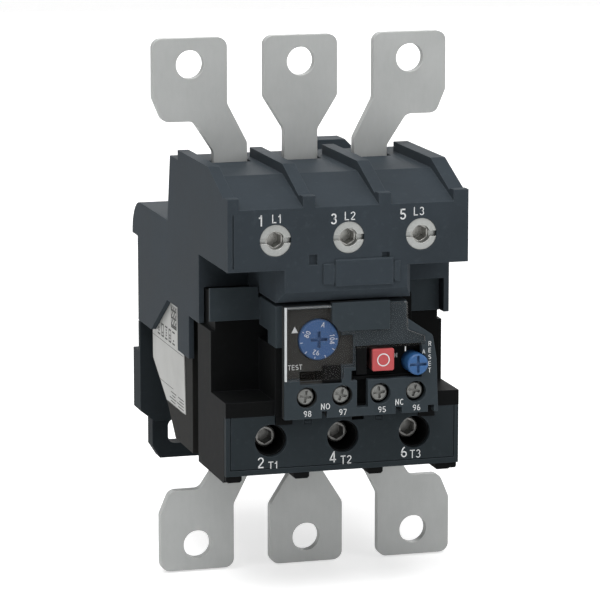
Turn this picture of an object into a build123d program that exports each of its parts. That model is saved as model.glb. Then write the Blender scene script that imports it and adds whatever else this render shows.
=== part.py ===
from build123d import *
import os

# Three-pole thermal overload relay plugged into a rail adaptor with its own terminals.
# x runs across the front, y from the front (negative) back to the mounting panel at
# y = 0, and z up, with z = 0 on the centre line of the mounting rail.
# A depth is measured back from the front face of the adaptor.

# Overall sizes
body_width = 76.2
overall_depth = 124.5
running_gap = 0.3
fit_gap = 0.05

# Mounting rail and panel fixings
rail_width = 35.0
rail_height = 7.5
rail_play = 1.3
rail_slot = 1.4
jaw_height = 23.9
fixing_spacing_x = 50.0
fixing_spacing_z = 75.0
fixing_radius = 2.25
upper_fixing_z = 42.0

# Adaptor housing
floor_z = 52.0
slope_foot_z = 44.9
slope_depth = 23.0
rib_top_z = 55.1
rib_pitch = 23.93
rib_width = 3.9
rib_shift = -0.6
rib_end_depth = 61.3
post_top_z = 48.4
post_depth = 3.6
ear_top_z = 48.7
ear_bevel = 2.2
ear_thickness = 9.0
block_bottom_z = 26.0
block_back_depth = 71.5
apron_bottom_z = 15.5
rear_top_z = 30.5
rear_radius = 11.4
side_wall = 1.7
tongue_left_x = -22.2
tongue_right_x = 20.6
left_wall_depth = 35.25
right_wall_depth = 18.2
wall_step_z = 4.2
wall_heel_z = -9.6
wall_notch = (48.2, 62.7)
wall_slope = (76.6, 99.0)
back_plate = 2.2

# Poles, bars and their clamps
pole_pitch = 23.05
plate_pitch = 36.0
bar_thickness = 3.0
bar_plate_width = 24.0
bar_strap_width = 10.9
bar_hole_radius = 4.5
bar_end = 8.3
bar_step = 6.2
upper_hole_z = 83.0
lower_bar_depth = 46.8
lower_hole_z = -69.7
line_screw_z = 35.2
load_screw_z = -27.8
clamp_screw_radius = 3.4
socket_across = 4.3
load_screw_depth = 13.0
sleeve_radius = 4.95
sleeve_length = 8.0
sleeve_lip = 2.0
sleeve_mouth_radius = 2.8
sleeve_slot = 1.7
pin_thickness = 2.0
blade_half = 4.2
cage_wall = 2.0
cage_height = 11.5

# Relay
relay_width = 74.8
relay_core_width = 72.0
relay_front_depth = 5.7
relay_recess_depth = 23.3
relay_wing_depth = 22.0
groove_width = 12.7
relay_back_gap = 19.5
wing_top_z = 17.4
wing_bottom_z = 7.1
shelf_z = -15.3
panel_top_z = -20.0
panel_bottom_z = -38.3
panel_thickness = 2.0
panel_rim = 1.3
clip_bottom_z = -22.9
foot_bottom_z = -40.3
relay_bottom_z = -40.8
rear_bend_z = -31.1
rear_foot_z = -19.9
case_wall = 2.2

# Control block
control_depth = 1.5
control_left_x = -19.9
control_right_x = 29.3
control_top_z = 14.3
control_bottom_z = -20.7
control_face = 3.0
corner_x = 19.1
corner_z = 9.1
dial_x = -8.8
dial_z = 3.6
dial_radius = 6.3
raised_x = (-4.9, 13.4)
raised_z = (6.2, 15.0)
cover_right_x = -1.3
cover_step_x = 2.4
cover_step_z = -5.2
cover_strip_z = 0.6
cover_bottom_z = -8.6
cover_seat = 0.4
cover_wall = 1.0
hinge_x = -19.5
hinge_depth = 1.3
window_depth = 3.3
button_x = (2.7, 24.0)
button_z = (-9.6, 1.0)
button_slot_x = 1.3
button_slot_z = -6.4
well_depth = 6.5
carrier_floor = (20.5, 22.0)
keyway_x = (3.1, 6.7)
keyway_bottom_z = -18.1
stop_x = 11.4
stop_z = -3.5
stop_width = 7.0
stop_height = 6.9
reset_x = 22.3
reset_z = -5.4
reset_radius = 3.3
test_z = -7.7
test_head_x = (-7.5, -2.0)
test_slot_x = (-14.7, -2.2)
control_screw_z = -14.1
control_screw_xs = (-12.8, -1.5, 10.7, 22.1)
control_screw_turns = (8, 20, -6, 14)
control_screw_radius = 2.75
control_bore_radius = 3.3
clamp_depth = (8.0, 14.4)
stem_half = 1.5
plunger_radius = 1.9

# Thermal trip mechanism
bimetal_thickness = 1.0
bimetal_width = 8.0
bimetal_setback = 11.0
bimetal_foot_z = -30.0
bimetal_tip_z = 8.0
slide_left_x = -33.0
slide_thickness = 1.2
winding_turns = 6
winding_pitch = 3.6
lead_low_z = -20.4
lead_height = 2.2

half_width = body_width / 2
rail_seat_depth = overall_depth - rail_height
upper_bar_depth = lower_bar_depth + bar_step
relay_rear_depth = lower_bar_depth + bar_thickness + pin_thickness + 0.2
relay_groove_depth = relay_rear_depth - groove_width
relay_back_depth = overall_depth - relay_back_gap
bimetal_depth = upper_bar_depth + bimetal_setback
bimetal_back = bimetal_depth + bimetal_width
slide_back = bimetal_back + 2.0
rear_slope_depth = bimetal_back + 2.5
rear_bend_depth = rear_slope_depth + 11.2
recess_top_z = rail_width / 2 + rail_play
recess_bottom_z = -rail_width / 2 - rail_play - 1.5
jaw_bottom = recess_bottom_z - jaw_height
lower_fixing_z = upper_fixing_z - fixing_spacing_z
relay_top_z = apron_bottom_z - running_gap
pole_xs = [(i - 1) * pole_pitch for i in range(3)]


def block(x, depth, z):
    """A box between two x, two depths and two heights."""
    centre = ((x[0] + x[1]) / 2, (depth[0] + depth[1]) / 2 - overall_depth, (z[0] + z[1]) / 2)
    return Pos(*centre) * Box(x[1] - x[0], depth[1] - depth[0], z[1] - z[0])


def outline(points):
    """A face through points (u, v) or (u, v, corner radius)."""
    face = make_face(Polyline(*[(p[0], p[1]) for p in points], close=True))
    for u, v, radius in [p for p in points if len(p) == 3]:
        corner = face.vertices().sort_by_distance((u, v, 0))[0]
        face = fillet(corner, radius)
    return face


def side_profile(points, x):
    """An outline of depth and height, drawn from the side and extruded across x."""
    placed = [(p[0] - overall_depth, *p[1:]) for p in points]
    return extrude(Plane.YZ.offset(x[0]) * outline(placed), x[1] - x[0])


def front_profile(points, depth):
    """An outline of x and height, drawn from the front and extruded between two depths."""
    plane = Plane.XZ.offset(overall_depth - depth[1])
    return extrude(plane * outline(points), depth[1] - depth[0])


def rod(x, z, depth, radius):
    """A cylinder along y."""
    middle = (depth[0] + depth[1]) / 2 - overall_depth
    return Pos(x, middle, z) * Rot(90, 0, 0) * Cylinder(radius, depth[1] - depth[0])


def hexagon_bore(x, z, depth, across):
    """A hexagon socket along y, with corners up and down."""
    plane = Plane.XZ.offset(overall_depth - depth[1])
    face = Pos(x, z) * RegularPolygon(across / 2, 6, major_radius=False, rotation=30)
    return extrude(plane * face, depth[1] - depth[0])


# Adaptor housing
line_window = (upper_bar_depth - 0.5, upper_bar_depth + bar_thickness + pin_thickness)
line_cage = (line_window[0] - 4.0, line_window[1] + cage_wall)
load_window = (lower_bar_depth - 0.5, lower_bar_depth + bar_thickness + pin_thickness)
load_cage = (load_window[0] - 3.5, load_window[1] + cage_wall)
strap_half = bar_strap_width / 2
cage_half = strap_half + 1.3
line_cage_z = (line_screw_z - cage_height / 2, line_screw_z + cage_height / 2)
load_cage_z = (load_screw_z - cage_height / 2, load_screw_z + cage_height / 2)


def side_wall_plate(front_depth, front_foot_z, x):
    """One cheek of the adaptor, with the notch, tongue and heel below the block."""
    top_z = block_bottom_z + 1
    heel_depth = rail_seat_depth - 0.1
    points = [
        (front_depth, top_z),
        (front_depth, front_foot_z),
        (left_wall_depth, front_foot_z),
        (left_wall_depth, wall_step_z),
        (wall_notch[0], wall_step_z),
        (wall_notch[0], wall_heel_z),
        (wall_notch[1], wall_heel_z),
        (wall_notch[1], wall_step_z),
        (wall_slope[0], wall_step_z),
        (wall_slope[1], wall_heel_z),
        (heel_depth, wall_heel_z),
        (heel_depth, top_z),
    ]
    if front_depth == left_wall_depth:
        points = points[:1] + points[3:]
    return side_profile(points, x)


def make_adaptor_housing():
    across = (-half_width, half_width)
    back_foot = block_back_depth + 4.0
    shape = side_profile(
        [
            (0, block_bottom_z),
            (0, slope_foot_z),
            (slope_depth, floor_z),
            (block_back_depth, floor_z),
            (back_foot, rear_top_z),
            (back_foot, apron_bottom_z),
            (left_wall_depth, apron_bottom_z),
            (left_wall_depth, block_bottom_z),
        ],
        across,
    )
    shape += side_profile(
        [
            (back_foot - 1, apron_bottom_z),
            (back_foot - 1, rear_top_z),
            (overall_depth, rear_top_z, rear_radius),
            (overall_depth, recess_top_z),
            (rail_seat_depth, recess_top_z),
            (rail_seat_depth, apron_bottom_z),
        ],
        across,
    )
    # Middle extension under the front face, bevelled round its lower and side edges
    bevel = 3.5
    top = block_bottom_z + 0.5
    tongue = side_profile(
        [
            (0, apron_bottom_z + bevel),
            (bevel, apron_bottom_z),
            (left_wall_depth + 1, apron_bottom_z),
            (left_wall_depth + 1, top),
            (0, top),
        ],
        (-30, 30),
    )
    left, right = tongue_left_x, tongue_right_x
    plan = [
        (left + 2, -overall_depth),
        (right - 2, -overall_depth),
        (right, bevel - overall_depth),
        (right, left_wall_depth + 1 - overall_depth),
        (left, left_wall_depth + 1 - overall_depth),
        (left, bevel - overall_depth),
    ]
    shape += tongue & extrude(Pos(0, 0, apron_bottom_z) * outline(plan), top - apron_bottom_z)
    lintel_depth = (right_wall_depth, left_wall_depth + 1)
    shape += block((right - 0.5, half_width), lintel_depth, (wing_top_z + 0.4, top))
    shape += side_wall_plate(left_wall_depth, wall_step_z, (-half_width, -half_width + side_wall))
    shape += side_wall_plate(right_wall_depth, wing_bottom_z, (half_width - side_wall, half_width))
    # Ribs between the poles, each with a flat post at the front
    rib_outline = [
        (0, slope_foot_z - 5),
        (0, post_top_z),
        (post_depth, post_top_z, 0.4),
        (post_depth + 0.9, post_top_z - 0.6, 1.0),
        (slope_depth, rib_top_z),
        (rib_end_depth, rib_top_z),
        (rib_end_depth, floor_z - 8),
        (10, slope_foot_z - 5),
    ]
    for i in range(4):
        centre = rib_shift + (i - 1.5) * rib_pitch
        left_x = -half_width if i == 0 else centre - rib_width / 2
        right_x = half_width if i == 3 else centre + rib_width / 2
        shape += side_profile(rib_outline, (left_x, right_x))
    # Fixing ear at the top right, and the lip that holds the top edge of the rail
    ear_x = fixing_spacing_x / 2
    ear = [
        (ear_x - 9.6, rear_top_z - 12),
        (ear_x - 9.6, ear_top_z - ear_bevel),
        (ear_x - 9.6 + ear_bevel, ear_top_z),
        (ear_x + 10.6 - ear_bevel, ear_top_z),
        (ear_x + 10.6, ear_top_z - ear_bevel),
        (ear_x + 10.6, rear_top_z - 12),
    ]
    shape += front_profile(ear, (overall_depth - ear_thickness, overall_depth))
    lip_depth = (rail_seat_depth + rail_slot, rail_seat_depth + rail_slot + 2.6)
    shape += block((-22, 22), lip_depth, (rail_width / 2 - 3.3, recess_top_z + 1))
    shape -= rod(ear_x, upper_fixing_z, (overall_depth - 10, overall_depth + 1), fixing_radius)
    for x in pole_xs:
        slot = (x - strap_half - 1.2, x + strap_half + 1.2)
        window = (line_window[0] - 0.9, upper_bar_depth + bar_thickness + 0.5)
        shape -= block(slot, window, (line_screw_z, floor_z + 1))
        pocket = (x - cage_half - 0.2, x + cage_half + 0.2)
        pocket_z = (line_cage_z[0] - 0.2, line_cage_z[1] + 0.2)
        shape -= block(pocket, (line_cage[0] - 0.2, line_cage[1] + 0.2), pocket_z)
        pin_slot = (line_window[1] - pin_thickness - 0.4, line_window[1] + 0.4)
        shape -= block((x - 4.6, x + 4.6), pin_slot, (apron_bottom_z - 1, line_screw_z))
        shape -= rod(x, line_screw_z, (-1, sleeve_length), sleeve_radius)
        shape -= rod(x, line_screw_z, (0, line_cage[0] + 1), clamp_screw_radius + 0.3)
    # Fine groove and two small sockets in the front face
    groove_z = (block_bottom_z + 1, slope_foot_z - 1.5)
    shape -= block((1.5 - half_width, 2.0 - half_width), (-1, 0.5), groove_z)
    shape -= block((-12.6, -10.0), (-1, 1), (27.2, 30.4))
    shape -= block((10.5, 12.9), (-1, 1), (28.4, 30.2))
    return shape


def make_label_tab():
    """Blank snap-in marking plate on the tongue, with a small ear on each side."""
    plate = block((-4.4, 14.0), (-0.8, -0.0), (apron_bottom_z + 4.7, 28.6))
    plate = chamfer(plate.faces().sort_by(Axis.Y)[0].edges(), 0.3)
    for x in ((-8.2, -4.8), (14.4, 16.2)):
        plate += block(x, (-0.5, 0.0), (21.1, 27.4))
    plate += block((-4.9, 14.5), (-0.3, 0.0), (21.6, 26.9))
    return plate


def make_mounting_base():
    """Rail seat plate with the lower jaw block that guides the sliding clip."""
    seat = (rail_seat_depth - back_plate, rail_seat_depth)
    inner = half_width - side_wall - 0.1
    lower_outline = [
        (-half_width, recess_bottom_z),
        (half_width, recess_bottom_z),
        (half_width, jaw_bottom + 3.7),
        (half_width - 4.7, jaw_bottom),
        (4.7 - half_width, jaw_bottom),
        (-half_width, jaw_bottom + 3.7),
    ]
    shape = block((-inner, inner), seat, (recess_bottom_z, relay_top_z))
    shape += block((-half_width, half_width), seat, (recess_bottom_z - 1, wall_heel_z - 0.3))
    shape += front_profile(lower_outline, (seat[0], overall_depth))
    slider = (rail_seat_depth, rail_seat_depth + 4.3)
    crossbar_top = jaw_bottom + 4.5
    shape -= block((-19.2, 19.2), slider, (crossbar_top - 1, recess_bottom_z - 4.1))
    shape -= block((-33.6, 33.6), (rail_seat_depth, overall_depth + 1), (jaw_bottom - 1, crossbar_top))
    shape -= block((-15.3, 15.3), (slider[0] + 1.1, slider[1]), (recess_bottom_z - 5, recess_bottom_z + 1))
    # Peg that carries the clip spring
    shape += block((-1.2, 1.2), slider, (crossbar_top + 1.6, crossbar_top + 3.6))
    hole_depth = (seat[0] - 1, overall_depth + 1)
    return shape - rod(-fixing_spacing_x / 2, lower_fixing_z, hole_depth, fixing_radius)


def make_din_clip():
    """Sliding clip: jaw lip behind the lower rail edge, and a pull loop below."""
    depth = (rail_seat_depth + running_gap, rail_seat_depth + 4.0)
    lip = (rail_seat_depth + rail_slot, depth[1])
    foot_top = jaw_bottom + 4.2
    shape = block((-19, 19), depth, (foot_top - 2, recess_bottom_z - 4.4))
    shape += block((-15, 15), lip, (recess_bottom_z - 5, -rail_width / 2 + 3.3))
    foot_bottom = jaw_bottom - 13.5
    foot = front_profile(
        [
            (-33.4, foot_top),
            (-33.4, foot_bottom + 4.2),
            (-30.8, foot_bottom),
            (30.8, foot_bottom),
            (33.4, foot_bottom + 4.2),
            (33.4, foot_top),
        ],
        (rail_seat_depth + 0.6, overall_depth - 0.3),
    )
    foot -= front_profile(
        [
            (-28, foot_bottom + 4.8, 2.5),
            (28, foot_bottom + 4.8, 2.5),
            (28, jaw_bottom - 0.2, 2.5),
            (-28, jaw_bottom - 0.2, 2.5),
        ],
        (rail_seat_depth, overall_depth),
    )
    shape += foot
    shape -= block((-2.6, 2.6), (depth[0] - 1, depth[1] + 1), (foot_top + 0.2 - 4.1, foot_top + 11.5))
    return shape


def coil(radius, wire, height, turns, place):
    """A helical spring of round wire along the local z axis."""
    path = Helix(pitch=height / turns, height=height, radius=radius)
    section = Plane(origin=path @ 0, z_dir=path % 0) * Circle(wire)
    return place * sweep(section, path=path, is_frenet=True)


def make_clip_spring():
    place = Pos(0, rail_seat_depth + 2.15 - overall_depth, jaw_bottom + 8.5)
    return coil(1.35, 0.28, 6.3, 5, place)


# Bars
def make_bar(side, depth, hole_z, up, inner_z):
    """Flat tinned bar: a strap in the clamp and a drilled plate, set outward by side."""
    shift = side * (plate_pitch - pole_pitch)
    plate_half = bar_plate_width / 2
    if side:
        near, far = 0.95, plate_pitch - pole_pitch + plate_half
        points = [
            (near, bar_end, 3),
            (far, bar_end, 3),
            (far, -10.3, 3),
            (far - 3.2, -17.9, 3),
            (far - plate_half - 1.0, -17.9, 3),
            (strap_half, -27.7, 3),
            (strap_half, None),
            (-strap_half, None),
            (-strap_half, -25.0, 3),
            (near, -12.6, 3),
        ]
    else:
        points = [
            (-plate_half, bar_end, 3),
            (plate_half, bar_end, 3),
            (plate_half, -11.0, 3),
            (strap_half, -21.5, 3),
            (strap_half, None),
            (-strap_half, None),
            (-strap_half, -21.5, 3),
            (-plate_half, -11.0, 3),
        ]
    direction = side if side else 1
    placed = []
    for u, v, *radius in points:
        z = inner_z if v is None else hole_z + up * v
        placed.append((side_x(side) + direction * u, z, *radius))
    bar = front_profile(placed, (depth, depth + bar_thickness))
    bar -= rod(side_x(side) + shift, hole_z, (depth - 1, depth + bar_thickness + 1), bar_hole_radius)
    return bar


def side_x(side):
    return side * pole_pitch


# Clamps of the adaptor
def make_line_sleeve(x):
    """Slotted ring that guides the clamp screw in the front face."""
    ring = rod(x, line_screw_z, (0.3, sleeve_length), sleeve_radius - fit_gap)
    ring -= rod(x, line_screw_z, (sleeve_lip, sleeve_length + 1), clamp_screw_radius + 0.1)
    ring -= rod(x, line_screw_z, (0, sleeve_lip + 1), sleeve_mouth_radius)
    slot_z = (line_screw_z - sleeve_slot / 2, line_screw_z + sleeve_slot / 2)
    ring -= block((x - sleeve_radius - 1, x + sleeve_radius + 1), (0, sleeve_lip - 0.3), slot_z)
    return ring


def make_clamp_screw(x, z, depth, socket):
    """Socket-head clamp screw, its point against the strap."""
    screw = rod(x, z, depth, clamp_screw_radius)
    rim = screw.faces().sort_by(Axis.Y)[0].edges()
    screw = chamfer(rim, 0.5)
    tip = screw.faces().sort_by(Axis.Y)[-1].edges()
    screw = chamfer(tip, 0.8)
    return screw - hexagon_bore(x, z, (depth[0] - 1, depth[0] + 4.5), socket)


def make_cage(x, z, depth, window):
    """Steel clamp cage round the strap, threaded at the front for its screw."""
    cage = block((x - cage_half, x + cage_half), depth, z)
    cage = fillet(cage.edges().filter_by(Axis.Z), 1.0)
    cage -= block((x - strap_half - 0.1, x + strap_half + 0.1), window, (z[0] - 1, z[1] + 1))
    middle = (z[0] + z[1]) / 2
    cage -= rod(x, middle, (depth[0] - 1, window[0] + 0.5), clamp_screw_radius + fit_gap)
    return cage


def make_line_pin(x):
    """Flat blade of the relay that plugs into the adaptor's cage from below."""
    depth = (line_window[1] - pin_thickness, line_window[1])
    blade = block((x - blade_half, x + blade_half), depth, (bimetal_foot_z - 2, line_cage_z[1] - 1.5))
    blade = chamfer(blade.faces().sort_by(Axis.Z)[-1].edges().filter_by(Axis.Y), 1.5)
    foot_z = (bimetal_foot_z - 2, bimetal_foot_z - 0.6)
    return blade + block((x - blade_half, x + blade_half), (depth[0], bimetal_back + 1), foot_z)


# Relay cases
def make_front_case():
    """Black front moulding behind the control block and the load terminals."""
    half = relay_width / 2
    core = relay_core_width / 2
    rear = relay_rear_depth - running_gap
    body_z = (relay_bottom_z, wall_step_z - 0.3)
    shape = block((-half, half), (relay_recess_depth, relay_groove_depth), body_z)
    shape += block((-core, core), (relay_recess_depth, left_wall_depth + 9), (wall_step_z - 1, relay_top_z))
    shape += block((-core + 2, core - 2), (relay_groove_depth - 1, rear), (relay_bottom_z, relay_top_z))
    terminal_depth = relay_front_depth + panel_thickness
    shape = chamfer(
        shape.edges().filter_by(Axis.X).sort_by_distance((0, rear - overall_depth, relay_bottom_z))[0], 1.5
    )
    shape += block((-half, half), (terminal_depth, relay_recess_depth + 1), (panel_bottom_z - 0.2, shelf_z))
    shape += block((-half, half), (relay_front_depth, terminal_depth + 1), (panel_top_z + 0.05, shelf_z))
    # Side walls down to the bottom, and four short feet under the terminal panel
    wall_outline = [
        (terminal_depth, panel_bottom_z),
        (terminal_depth, relay_bottom_z, 1.6),
        (relay_recess_depth + 1, relay_bottom_z),
        (relay_recess_depth + 1, panel_bottom_z),
    ]
    for wall_x in ((-half, case_wall - half), (half - case_wall, half)):
        shape += side_profile(wall_outline, wall_x)
    foot_depth = (relay_front_depth + 0.3, terminal_depth + 6)
    for x in (-34.8, -13.3, 10.4, 32.4):
        foot = block((x - 2.5, x + 2.5), foot_depth, (foot_bottom_z, panel_bottom_z - 0.1))
        shape += chamfer(foot.edges().filter_by(Axis.Y).group_by(Axis.Z)[0], 0.6)
    # Two angular clips that reach down over the top edge of the terminal cover
    for side in (-1, 1):
        shape += front_profile(clip_outline(side, 0.0), (relay_front_depth - 0.4, terminal_depth + 0.1))
    # Recess for the control block and its side walls
    shape += front_profile(
        [
            (control_left_x - 2.1, control_bottom_z + 1.0),
            (control_left_x - 2.1, 1.2),
            (27.2, 1.2),
            (control_right_x - 0.6, -0.4),
            (control_right_x - 0.6, control_bottom_z + 1.0),
        ],
        (control_depth + control_face + 0.1, relay_recess_depth + 1),
    )
    shape -= control_cavity()
    for x in pole_xs:
        shape -= rod(x, load_screw_z, (0, load_cage[0] + 1), 4.7)
        pocket = (x - cage_half - 0.2, x + cage_half + 0.2)
        pocket_z = (load_cage_z[0] - 0.2, load_cage_z[1] + 0.2)
        shape -= block(pocket, (load_cage[0] - 0.2, relay_rear_depth + 4), pocket_z)
        slot = (x - strap_half - 0.6, x + strap_half + 0.6)
        slot_depth = (lower_bar_depth - 0.6, load_window[1] + 0.5)
        shape -= block(slot, slot_depth, (relay_bottom_z - 1, load_screw_z))
        lead_slot = (load_window[1] - pin_thickness - 0.4, relay_rear_depth + 1)
        shape -= block((x - 6.6, x + 6.6), lead_slot, (load_cage_z[1], lead_low_z + lead_height + 0.4))
    # Pocket of the trip striker and the bearing of its shaft
    shape -= block((24.0, 33.0), (28.0, relay_recess_depth + 12), (-4.0, 8.0))
    return shape - rod(lever_x, lever_z, (28.0, relay_rear_depth + 1), 1.5 + fit_gap)


def clip_outline(side, grow):
    """L outline of a clip on the front case, or of its notch in the cover where it grows."""
    middle, inner, outer = 3.95, 12.95, 12.95 + 5.1
    points = [
        (outer + grow, panel_top_z + 0.1),
        (outer + grow, clip_bottom_z - grow),
        (inner - grow, clip_bottom_z - grow),
        (inner - grow, clip_bottom_z + 1.6 + grow),
        (outer - 1.9 - grow, clip_bottom_z + 1.6 + grow),
        (outer - 1.9 - grow, panel_top_z + 0.1),
    ]
    return [(middle + side * (u + 7.4), z) for u, z in points]


def control_cavity():
    """Space behind the control face that holds the buttons, contacts and rocker."""
    depth = (control_depth + control_face - 0.5, relay_recess_depth + 12)
    return block((control_left_x + 1.0, control_right_x - 2.4), depth, (control_bottom_z + 3.0, 13.2))


def make_rear_case():
    """Grey rear moulding round the thermal elements, open at the front."""
    half = relay_core_width / 2
    bottom = relay_bottom_z - 0.4
    points = [
        (relay_rear_depth, bottom),
        (rear_slope_depth, bottom, 2.0),
        (rear_bend_depth, rear_bend_z, 2.0),
        (relay_back_depth - 0.3, rear_foot_z, 2.0),
        (relay_back_depth, relay_top_z, 1.5),
        (relay_rear_depth, relay_top_z),
    ]
    shape = side_profile(points, (-half, half))
    hollow = [
        (relay_rear_depth - 1, bottom + case_wall),
        (rear_slope_depth - 1, bottom + case_wall),
        (rear_bend_depth - 1.7, rear_bend_z + 1.5),
        (relay_back_depth - case_wall - 0.5, rear_foot_z + 1.3),
        (relay_back_depth - case_wall, relay_top_z - case_wall),
        (relay_rear_depth - 1, relay_top_z - case_wall),
    ]
    shape -= side_profile(hollow, (case_wall - half, half - case_wall))
    for x in pole_xs:
        pin_slot = (line_window[1] - pin_thickness - 0.4, line_window[1] + 0.4)
        shape -= block((x - 4.6, x + 4.6), pin_slot, (relay_top_z - case_wall - 1, relay_top_z + 1))
        base = (bimetal_depth - 0.6, bimetal_back + 2)
        shape += block((x - 5.5, x + 5.5), base, (bottom + 1, bimetal_foot_z - 2.0))
    # Brackets that carry the two slides
    bracket_back = slide_back + 2.0
    for x in ((slide_left_x, slide_left_x + 3.0), (26.4, 28.4)):
        shape += block(x, (slide_back + 0.5, bracket_back), (slide_z - 1.6, relay_top_z - 1))
        shape += block(x, (bimetal_depth - 3.0, bracket_back), (slide_z - 1.6, slide_z - 0.2))
    return shape


def make_terminal_frame():
    """Rim of the load terminal panel, which clips round the black case."""
    half = relay_width / 2 - 0.05
    depth = (relay_front_depth, relay_front_depth + panel_thickness - 0.05)
    rim = block((-half, half), depth, (panel_bottom_z, panel_top_z - 0.05))
    opening_z = (panel_bottom_z + panel_rim + 0.4, panel_top_z + 1)
    rim -= block((panel_rim - half, half - panel_rim), (0, 20), opening_z)
    return rim


def make_terminal_cover():
    """Panel with the three screw access holes."""
    gap = 0.25
    half = relay_width / 2 - 0.05 - panel_rim - gap
    depth = (relay_front_depth + 0.1, relay_front_depth + panel_thickness - 0.05)
    cover = block((-half, half), depth, (panel_bottom_z + panel_rim + 0.4 + gap, panel_top_z - 0.05))
    for x in pole_xs:
        cover -= rod(x, load_screw_z, (0, 20), 5.1)
    for side in (-1, 1):
        cover -= front_profile(clip_outline(side, 0.2), (0, 20))
    # Small slot and two outlined squares along the top edge
    cover -= block((2.8, 6.7), (0, 20), (-22.8, -21.6))
    for left, right in ((-12.6, -10.0), (10.2, 12.8)):
        cover -= block((left, right), (0, depth[0] + 0.3), (-23.3, -21.6))
        cover += block((left + 0.5, right - 0.5), depth, (-22.8, -22.1))
    return cover


def make_side_label():
    """Blank label plate on the left side of the rear case."""
    x = -relay_core_width / 2
    near, back = relay_rear_depth + 8.6, relay_back_depth - 1.0
    points = [
        (near + 20.9, 3.2),
        (near + 9.9, 3.2),
        (near + 9.9, -10.0),
        (near + 1.4, -10.4),
        (near, -30.4),
        (rear_bend_depth - 0.3, rear_bend_z + 0.5),
        (back, rear_foot_z),
        (back + 0.2, -9.0),
        (back - 12.0, -5.0),
    ]
    return side_profile(points, (x - 0.25, x))


# Control block
def control_outline():
    """Front outline of the control block, with its cut upper right corner."""
    return [
        (control_left_x, control_bottom_z),
        (control_left_x, control_top_z),
        (corner_x, control_top_z),
        (corner_x, corner_z),
        (27.4, 3.4, 1.5),
        (control_right_x - 0.6, -4.0),
        (control_right_x, control_bottom_z),
    ]


def make_control_housing():
    """Grey control block: face with its openings, side returns and the two wings."""
    face_back = control_depth + control_face
    shape = front_profile(control_outline(), (control_depth, face_back))
    # The face is drawn out backwards to a slightly wider skirt above the black case
    left = control_left_x - 2.1
    corner = [(left, control_top_z), (corner_x + 0.5, control_top_z), (corner_x + 0.5, corner_z - 0.3)]
    skirt = [(left, 1.4), *corner, (27.6, 3.2), (28.4, 1.4)]
    shape += front_profile(skirt, (face_back - 0.5, 13.0))
    upper = [(left, 5.4), *corner, (24.4, 5.4)]
    wing_back = relay_recess_depth - 0.2
    shape += front_profile(upper, (12.5, wing_back))
    wing_left, wing_right = 0.1 - half_width, half_width - side_wall - running_gap
    wing_depth = (relay_wing_depth, wing_back)
    shape += block((wing_left, wing_right), wing_depth, (wing_bottom_z, relay_top_z - 1.3))
    wing_z = (wing_bottom_z, wing_top_z)
    shape += block((wing_left, tongue_left_x - running_gap), wing_depth, wing_z)
    shape += block((tongue_right_x + running_gap, wing_right), wing_depth, wing_z)
    shape -= control_cavity()
    # Seat of the clear cover, and the deeper window below it
    seat_depth = (0, hinge_depth + cover_wall / 2 + cover_seat)
    shape -= front_profile(cover_outline(0.2), seat_depth)
    shape -= block((control_left_x - 1, hinge_x), seat_depth, (cover_bottom_z - 0.2, control_top_z + 1))
    window_z = (cover_bottom_z + 0.3, control_top_z - 1.0)
    shape -= block((control_left_x + 0.9, cover_right_x - 0.6), (0, window_depth), window_z)
    step_z = (cover_step_z + 0.6, cover_strip_z + 4.0)
    shape -= block((cover_right_x - 1, cover_step_x - 0.3), (0, window_depth), step_z)
    recess_x = (test_slot_x[0] - 0.3, test_head_x[1] + 0.3)
    shape -= block(recess_x, (0, window_depth), (test_z - 2.4, test_z + 3.3))
    shape += block(raised_x, (control_depth - 0.6, control_depth + 2.4), raised_z)
    shape -= rod(dial_x, dial_z, (0, face_back + 1), dial_radius + 0.2)
    # Openings for the test slider, stop button and reset knob
    through = (0, face_back + 1)
    shape -= block(test_slot_x, through, (test_z - 1.5, test_z + 1.5))
    shape -= block(button_x, through, button_z)
    shape -= block((button_slot_x, button_x[0] + 1), through, (button_z[0], button_slot_z))
    shape -= rod(reset_x, reset_z, through, reset_radius + running_gap)
    shape -= block(keyway_x, through, (keyway_bottom_z, button_z[0] + 1))
    for x in control_screw_xs:
        shape -= rod(x, control_screw_z, through, control_bore_radius)
    # Notches in the lower edge
    for notch_x in ((-8.1, -6.4), (15.6, 17.6), (26.0, 28.0)):
        shape -= block(notch_x, through, (control_bottom_z - 1, control_bottom_z + 2.1))
    return shape


def cover_outline(grow):
    """Outline of the clear cover round the raised block, or of its seat where it grows."""
    top = control_top_z - 0.1 + grow
    gap = running_gap - grow
    return [
        (hinge_x, cover_bottom_z - grow),
        (hinge_x, top),
        (raised_x[0] - gap, top),
        (raised_x[0] - gap, raised_z[0] - gap),
        (raised_x[1] + gap, raised_z[0] - gap),
        (raised_x[1] + gap, top),
        (19.0 + grow, top),
        (19.2 + grow, 5.5 + grow, 0.8),
        (24.8 + grow, 3.2 + grow, 0.8),
        (24.8 + grow, cover_strip_z - grow),
        (cover_step_x + grow, cover_strip_z - grow),
        (cover_step_x + grow, cover_step_z - grow),
        (cover_right_x + grow, cover_step_z - grow),
        (cover_right_x + grow, cover_bottom_z - grow),
    ]


def make_clear_cover():
    """Transparent flap over the dial and the test slider, hinged at its left edge."""
    depth = (hinge_depth - cover_wall / 2, hinge_depth + cover_wall / 2)
    flap = front_profile(cover_outline(0.0), depth)
    # Round edge about the hinge line
    height = control_top_z - 0.1 - cover_bottom_z
    barrel = Cylinder(cover_wall / 2, height)
    return flap + Pos(hinge_x, hinge_depth - overall_depth, cover_bottom_z + height / 2) * barrel


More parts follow.
